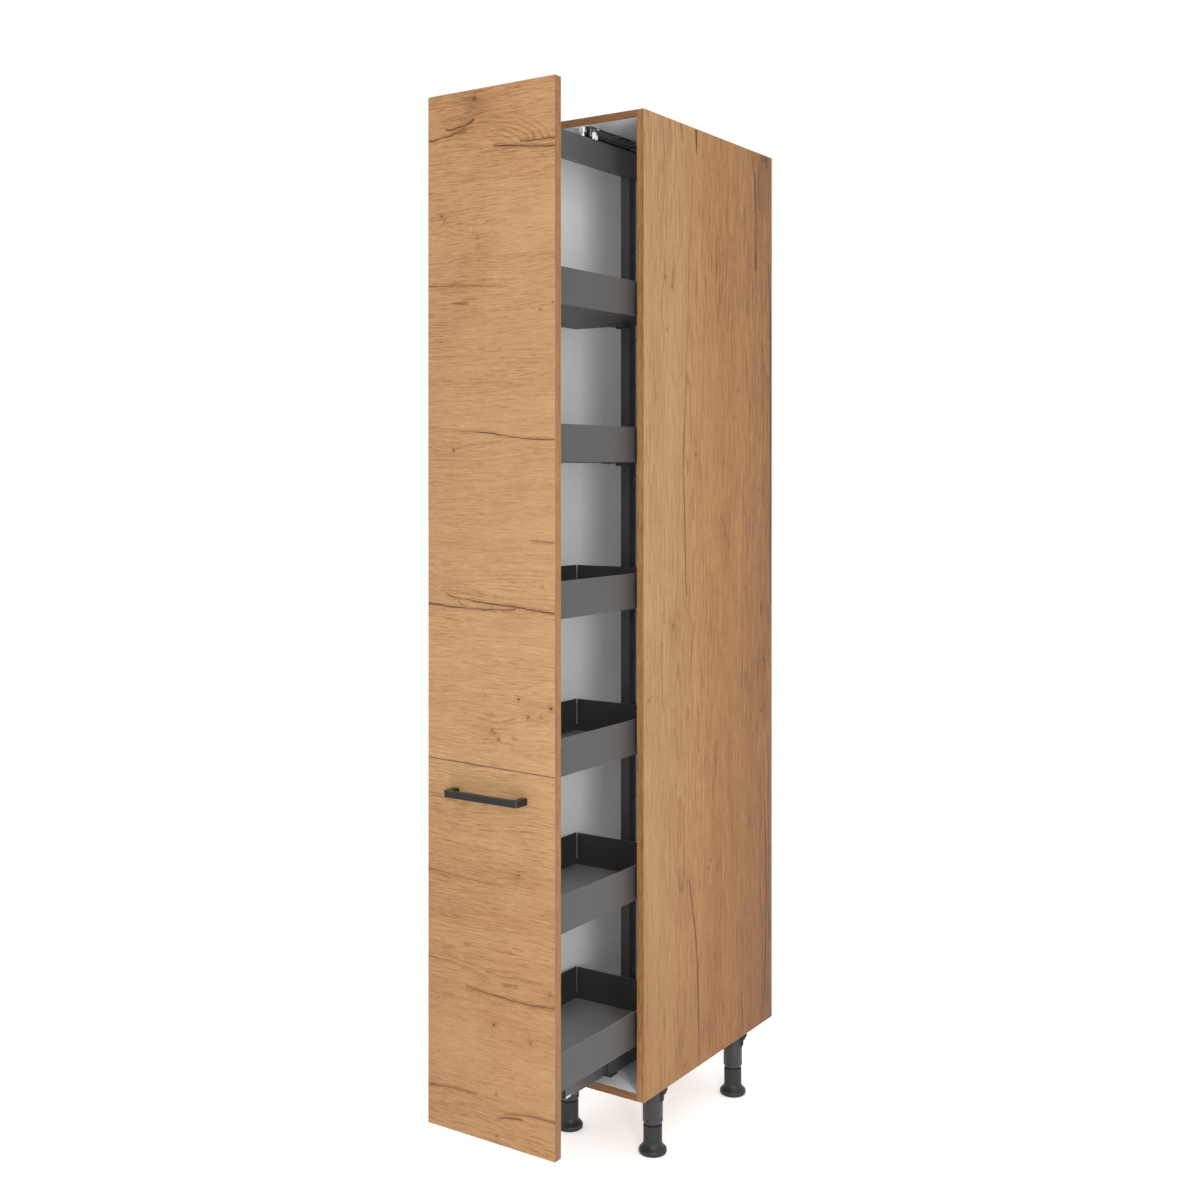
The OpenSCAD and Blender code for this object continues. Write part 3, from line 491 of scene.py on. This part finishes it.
def melamine(name, shade=0.80, tint=(1.0, 1.0, 1.0)):
    g = Graph(name)
    n1 = g.noise(g.obj, 1.6, 2.0, 0.5)
    n2 = g.noise(g.obj, 900.0, 2.0, 0.6)
    f = g.mad(g.sub(n1, 0.5), 0.05, 1.0)
    f = g.mad(g.sub(n2, 0.5), 0.05, f)
    col = g.mixc(1.0, tuple(shade * t for t in tint), g.vec(f, f, f), "MULTIPLY")
    g.set("Base Color", col)
    g.set("Roughness", g.mad(n2, 0.12, 0.36))
    g.set("Specular IOR Level", 0.4)
    g.bump(n2, 0.00006)
    return g.mat


def chipboard(name):
    g = Graph(name)
    v = g.voronoi(g.vec(g.mul(g.x, 420.0), g.mul(g.y, 420.0), g.mul(g.z, 420.0)), 1.0, out="Color")
    r, _, _ = g.sep(v)
    n = g.noise(g.obj, 700.0, 3.0, 0.6)
    t = g.mad(n, 0.5, g.mul(r, 0.5))
    g.set("Base Color", g.ramp(t, [(0.0, (0.16, 0.09, 0.045)), (0.45, (0.42, 0.28, 0.15)), (1.0, (0.62, 0.47, 0.29))]))
    g.set("Roughness", 0.9)
    g.set("Specular IOR Level", 0.15)
    g.bump(t, 0.0006)
    return g.mat


# ------------------------------------------------------------------ metal and plastic
def powder(name, colour, rough=0.46, grain=1500.0, relief=0.00005, spec=0.35, mottle=0.06):
    """Powder coat: fine orange peel, faint mottling, a trace of grey on the high spots."""
    g = Graph(name)
    peel = g.noise(g.obj, grain, 2.0, 0.55)
    wave = g.noise(g.obj, grain * 0.22, 1.0, 0.5)
    cloud = g.noise(g.obj, 5.0, 2.0, 0.5)
    f = g.mad(g.sub(cloud, 0.5), mottle, 1.0)
    f = g.mad(g.sub(peel, 0.5), 0.22, f)
    col = g.mixc(1.0, colour, g.vec(f, f, f), "MULTIPLY")
    g.set("Base Color", col)
    g.set("Roughness", g.mad(peel, 0.14, rough - 0.07))
    g.set("Specular IOR Level", spec)
    g.bump(g.mad(wave, 0.8, peel), relief)
    return g.mat


def zinc(name, axis="y", colour=(0.56, 0.565, 0.57), rough=0.30):
    """Zinc-plated steel: drawn lines along its length and soft blotches."""
    g = Graph(name)
    s = {"x": (12, 900, 900), "y": (900, 12, 900), "z": (900, 900, 12)}[axis]
    lines = g.noise(g.vec(g.mul(g.x, s[0]), g.mul(g.y, s[1]), g.mul(g.z, s[2])), 1.0, 3.0, 0.6)
    blot = g.noise(g.obj, 60.0, 3.0, 0.6)
    f = g.mad(g.sub(blot, 0.5), 0.30, 1.0)
    f = g.mad(g.sub(lines, 0.5), 0.16, f)
    g.set("Base Color", g.mixc(1.0, colour, g.vec(f, f, f), "MULTIPLY"))
    g.set("Metallic", 1.0)
    g.set("Roughness", g.add(g.mad(blot, 0.16, rough - 0.08), g.mul(g.sub(lines, 0.5), 0.10)))
    g.bump(lines, 0.00004)
    return g.mat


def plastic(name, colour, rough=0.42, spec=0.45, relief=0.00004, grain=1100.0):
    """Moulded plastic with a light spark-eroded texture."""
    g = Graph(name)
    n = g.noise(g.obj, grain, 3.0, 0.6)
    flow = g.noise(g.obj, 30.0, 2.0, 0.5)
    f = g.mad(g.sub(flow, 0.5), 0.14, 1.0)
    f = g.mad(g.sub(n, 0.5), 0.16, f)
    g.set("Base Color", g.mixc(1.0, colour, g.vec(f, f, f), "MULTIPLY"))
    g.set("Roughness", g.mad(n, 0.16, rough - 0.08))
    g.set("Specular IOR Level", spec)
    g.bump(n, relief)
    return g.mat


def lacquer(name, colour):
    g = Graph(name)
    n = g.noise(g.obj, 700.0, 2.0, 0.5)
    f = g.mad(g.sub(n, 0.5), 0.2, 1.0)
    g.set("Base Color", g.mixc(1.0, colour, g.vec(f, f, f), "MULTIPLY"))
    g.set("Roughness", g.mad(n, 0.10, 0.22))
    g.set("Specular IOR Level", 0.22)
    g.bump(n, 0.00003)
    return g.mat


def soft_clear(name):
    g = Graph(name)
    n = g.noise(g.obj, 500.0, 2.0, 0.5)
    g.set("Base Color", g.ramp(n, [(0.0, (0.62, 0.62, 0.60)), (1.0, (0.78, 0.78, 0.75))]))
    g.set("Roughness", g.mad(n, 0.1, 0.28))
    g.set("Subsurface Weight", 0.15)
    g.bump(n, 0.00003)
    return g.mat


def beech(name):
    g = Graph(name)
    n = g.noise(g.vec(g.mul(g.x, 60.0), g.mul(g.y, 900.0), g.mul(g.z, 900.0)), 1.0, 3.0, 0.6)
    g.set("Base Color", g.ramp(n, [(0.2, (0.42, 0.27, 0.14)), (0.8, (0.60, 0.43, 0.26))]))
    g.set("Roughness", 0.7)
    g.bump(n, 0.0001)
    return g.mat


M = {
    "door": door_face(),
    "side": side_face(),
    "side_left": side_face("oak_side_left", True),
    "door_back": plain_oak("oak_door_back", "x", "z", 21.5, 0.56),
    "top": plain_oak("oak_top", "y", "x", 8.8, 0.52),
    "band_z_door": plain_oak("oak_band_door", "z", "y", 15.1, 0.42, 0.75, True),
    "band_z": plain_oak("oak_band_upright", "z", "x", 17.3, 0.40, 0.88, True),
    "band_x_door": plain_oak("oak_band_door_flat", "x", "y", 18.9, 0.42, 0.86, True),
    "band_x": plain_oak("oak_band_flat", "x", "z", 19.7, 0.30, 0.66, True),
    # painted highlight: a lighter oak band made for the arris of the front
    "lip": plain_oak("oak_painted_highlight_band", "z", "y", 16.6, 0.80, 1.06),
    "white": melamine("white_melamine", 0.88),
    "white_back": melamine("white_hardboard", 0.68, (1.0, 0.995, 0.985)),
    # painted shade: a darker copy of the white melamine for the underside of the top panel
    "white_painted_shade_ceiling": melamine("melamine_painted_shade_ceiling", 0.60, (0.98, 0.99, 1.0)),
    "board": chipboard("raw_chipboard"),
    "steel": powder("anthracite_powder", (0.044, 0.0425, 0.041), 0.42, spec=0.38),
    # painted light: up-facing tray faces get a lighter copy of the anthracite coat, standing in for light falling from
    # above
    "tray_floor": powder("anthracite_painted_light_up", (0.255, 0.250, 0.243), 0.46, spec=0.42),
    # painted shade: down-facing tray faces get a darker copy of the same coat
    "tray_under": powder("anthracite_painted_shade_under", (0.029, 0.028, 0.027), 0.44, spec=0.36),
    "beam": powder("anthracite_beam", (0.074, 0.072, 0.070), 0.42, spec=0.42),
    "post": powder("graphite_powder", (0.044, 0.042, 0.040), 0.44),
    "zinc": zinc("zinc_steel", "y"),
    "zinc_z": zinc("zinc_fastener", "z", (0.60, 0.605, 0.61), 0.26),
    "black": plastic("black_plastic", (0.040, 0.041, 0.041)),
    "leg": plastic("black_leg_plastic", (0.026, 0.027, 0.026), 0.42, spec=0.38),
    "foot": plastic("black_foot_plastic", (0.017, 0.018, 0.018), 0.44, spec=0.30),
    "white_plastic": plastic("white_plastic", (0.76, 0.76, 0.73), 0.38),
    "handle": lacquer("black_lacquer", (0.012, 0.012, 0.013)),
    "bumper": soft_clear("clear_bumper"),
    "beech": beech("turned_beech"),
}


# ------------------------------------------------------------------ pieces cut from the frame's own shapes
def recut(node, mats, choose=None, bevel=0.0005, segments=2, angle=38.0, name=None):
    """A finished piece with the node's exact shape: clean faces, broken arrises, and a material for each side."""
    src = N[node]
    me = bpy.data.meshes.new((name or node) + "_mesh")
    bm = bmesh.new()
    bm.from_mesh(src.data)
    bmesh.ops.remove_doubles(bm, verts=bm.verts, dist=2e-6)
    bmesh.ops.dissolve_limit(bm, angle_limit=math.radians(0.6), verts=bm.verts, edges=bm.edges)
    bm.normal_update()
    for f in bm.faces:
        f.material_index = choose(f.normal, f.calc_center_median()) if choose else 0
        f.smooth = True
    bm.to_mesh(me)
    bm.free()
    me.set_sharp_from_angle(angle=math.radians(angle))
    for a in list(me.attributes):
        if a.name.startswith("custom_normal"):
            me.attributes.remove(a)
    o = bpy.data.objects.new(name or node + "_piece", me)
    scene.collection.objects.link(o)
    for m in mats:
        me.materials.append(M[m])
    if bevel:
        b = o.modifiers.new("arris", "BEVEL")
        b.width = bevel
        b.segments = segments
        b.limit_method = "ANGLE"
        b.angle_limit = math.radians(angle)
        b.use_clamp_overlap = True
        b.harden_normals = False
        b.miter_outer = "MITER_SHARP"
    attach(o, BODY[node])
    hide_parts(node)
    return o


def lies(n, axis, sign, share=0.8):
    return n[axis] * sign > share


# front: decor on both broad faces, edge band on the four narrow ones
def door_sides(n, c):
    if lies(n, 1, -1):
        return 0
    if lies(n, 1, 1):
        return 1
    if abs(n[0]) > 0.8:
        return 2
    return 3


door = recut("front_panel", ["door", "door_back", "band_z_door", "band_x_door"], door_sides, 0.0011, 3, name="front_panel_piece")


def side_sides(outer):
    def f(n, c):
        if lies(n, 0, outer):
            return 0
        if lies(n, 0, -outer):
            return 1
        if abs(n[1]) > 0.8 and (abs(c[0]) > 0.1339):
            return 2
        if abs(n[2]) > 0.8:
            return 3
        return 4

    return f


recut("side_panel_right", ["side", "white", "band_z", "top", "board"], side_sides(1), 0.0008, 2)
recut("side_panel_left", ["side_left", "white", "band_z", "top", "board"], side_sides(-1), 0.0008, 2)


def flat_sides(outer):
    def f(n, c):
        if lies(n, 2, outer):
            return 0
        if lies(n, 2, -outer):
            return 1
        if abs(n[1]) > 0.8:
            return 2
        return 3

    return f


recut("top_panel", ["top", "white_painted_shade_ceiling", "band_x", "board"], flat_sides(1), 0.0006, 2)
recut("bottom_panel", ["top", "white", "band_x", "board"], flat_sides(-1), 0.0006, 2)
recut("back_panel", ["white_back"], None, 0.0003, 1)

LOOK = {
    "cam_locks": ("zinc_z", 0.0003, "zinc_steel"), "cam_bolts": ("zinc_z", 0.0, "zinc_steel"), "wood_dowels": ("beech", 0.0, "beech"),
    "wall_brackets": ("zinc", 0.0003, "zinc_steel"), "wall_bracket_screws": ("zinc_z", 0.0, "zinc_steel"),
    "runner_cabinet_member": ("beam", 0.0003, "zinc_steel"), "runner_middle_member": ("beam", 0.0003, "zinc_steel"),
    "runner_frame_member": ("beam", 0.0003, "zinc_steel"), "runner_stop_clip": ("zinc", 0.0, "zinc_steel"),
    "runner_floor_screws": ("zinc_z", 0.0, "zinc_steel"), "guide_rail": ("zinc", 0.0003, "zinc_steel"), "guide_rail_screws": ("zinc_z", 0.0, "zinc_steel"),
    "guide_front_pin": ("zinc_z", 0.0002, "zinc_steel"), "guide_rear_pin": ("zinc_z", 0.0003, "zinc_steel"),
    "guide_front_roller": ("black", 0.0002, "black_plastic"), "guide_rear_roller": ("black", 0.0002, "black_plastic"),
    "soft_close_housing": ("black", 0.0004, "black_plastic"), "soft_close_catch": ("white_plastic", 0.0003, "white_plastic"),
    "soft_close_activator": ("black", 0.0003, "black_plastic"),
    "leg_sockets": ("leg", 0.0005, "black_plastic"), "leg_screws": ("zinc_z", 0.0, "zinc_steel"),
    "foot_front_left": ("foot", 0.0004, "black_plastic"), "foot_front_right": ("foot", 0.0004, "black_plastic"),
    "foot_rear_left": ("foot", 0.0004, "black_plastic"), "foot_rear_right": ("foot", 0.0004, "black_plastic"),
    "bar_handle": ("handle", 0.0006, "black_handle"), "handle_screws": ("zinc_z", 0.0002, "zinc_steel"),
    "front_post": ("post", 0.0003, "dark_steel"), "rear_post": ("post", 0.0003, "dark_steel"), "top_beam": ("beam", 0.0003, "dark_steel"),
    "beam_screws": ("zinc_z", 0.0, "zinc_steel"), "post_shoes": ("post", 0.0003, "dark_steel"), "post_shoe_screws": ("zinc_z", 0.0, "zinc_steel"),
    "front_brackets": ("post", 0.0003, "dark_steel"), "front_bracket_screws": ("zinc_z", 0.0, "zinc_steel"), "door_bumpers": ("bumper", 0.0002, "clear_bumper"),
    "ball_cage_outer": ("black", 0.0, "black_plastic"), "ball_cage_inner": ("black", 0.0, "black_plastic"),
    "balls_outer": ("zinc_z", 0.0, "zinc_steel"), "balls_inner": ("zinc_z", 0.0, "zinc_steel"),
}
for k in range(1, 7):
    LOOK["tray_%d_hangers" % k] = ("steel", 0.0002, "dark_steel")
for k in range(1, 7):
    # each tray: sides in the plain coat, up-facing faces in the painted-light copy, down-facing faces in the
    # painted-shade copy
    recut("tray_%d" % k, ["steel", "tray_floor", "tray_under"], lambda n, c: 1 if lies(n, 2, 1) else 2 if lies(n, 2, -1) else 0, 0.0003, 2)
for node in sorted(LOOK):
    mat, w, slot = LOOK[node]
    recut(node, [mat], None, w, 2)


# ------------------------------------------------------------------ floor, world and lamps
me = bpy.data.meshes.new("floor")
S = 30.0
me.from_pydata([(-S, -S, 0), (S, -S, 0), (S, S, 0), (-S, S, 0)], [], [(0, 1, 2, 3)])
floor = bpy.data.objects.new("floor", me)
scene.collection.objects.link(floor)
g = Graph("studio_floor")
n = g.noise(g.obj, 2.0, 2.0, 0.5)
g.set("Base Color", g.ramp(n, [(0.0, (0.92, 0.92, 0.92)), (1.0, (0.94, 0.94, 0.94))]))
g.set("Roughness", 0.9)
g.set("Specular IOR Level", 0.1)
g.set("Emission Color", (1.0, 1.0, 1.0))
g.set("Emission Strength", 0.36)
me.materials.append(g.mat)
floor.location.z = -0.0005

world = bpy.data.worlds.new("studio")
scene.world = world
world.use_nodes = True
bg = world.node_tree.nodes["Background"]
bg.inputs["Color"].default_value = (1, 1, 1, 1)
bg.inputs["Strength"].default_value = 1.0


def area(name, where, target, size, power, size_y=None):
    d = bpy.data.lights.new(name, "AREA")
    d.energy = power
    d.size = size
    if size_y:
        d.shape = "RECTANGLE"
        d.size_y = size_y
    o = bpy.data.objects.new(name, d)
    scene.collection.objects.link(o)
    o.location = where
    o.rotation_euler = (Vector(target) - Vector(where)).to_track_quat("-Z", "Y").to_euler()
    return o


area("key", (1.69, -1.51, 1.42), (0.0, -0.1, 1.25), 0.45, 35.0, 2.8)
area("front", (1.20, -2.75, 1.30), (0.0, -0.1, 1.1), 1.5, 20.0, 2.0)
fill = bpy.data.lights.new("fill", "SUN")
fill.energy = 0.12
fill.angle = math.radians(20)
fill.use_shadow = False
fill_o = bpy.data.objects.new("fill", fill)
scene.collection.objects.link(fill_o)
fill_o.rotation_euler = Vector((-1.0, 0.25, -0.1)).to_track_quat("-Z", "Y").to_euler()
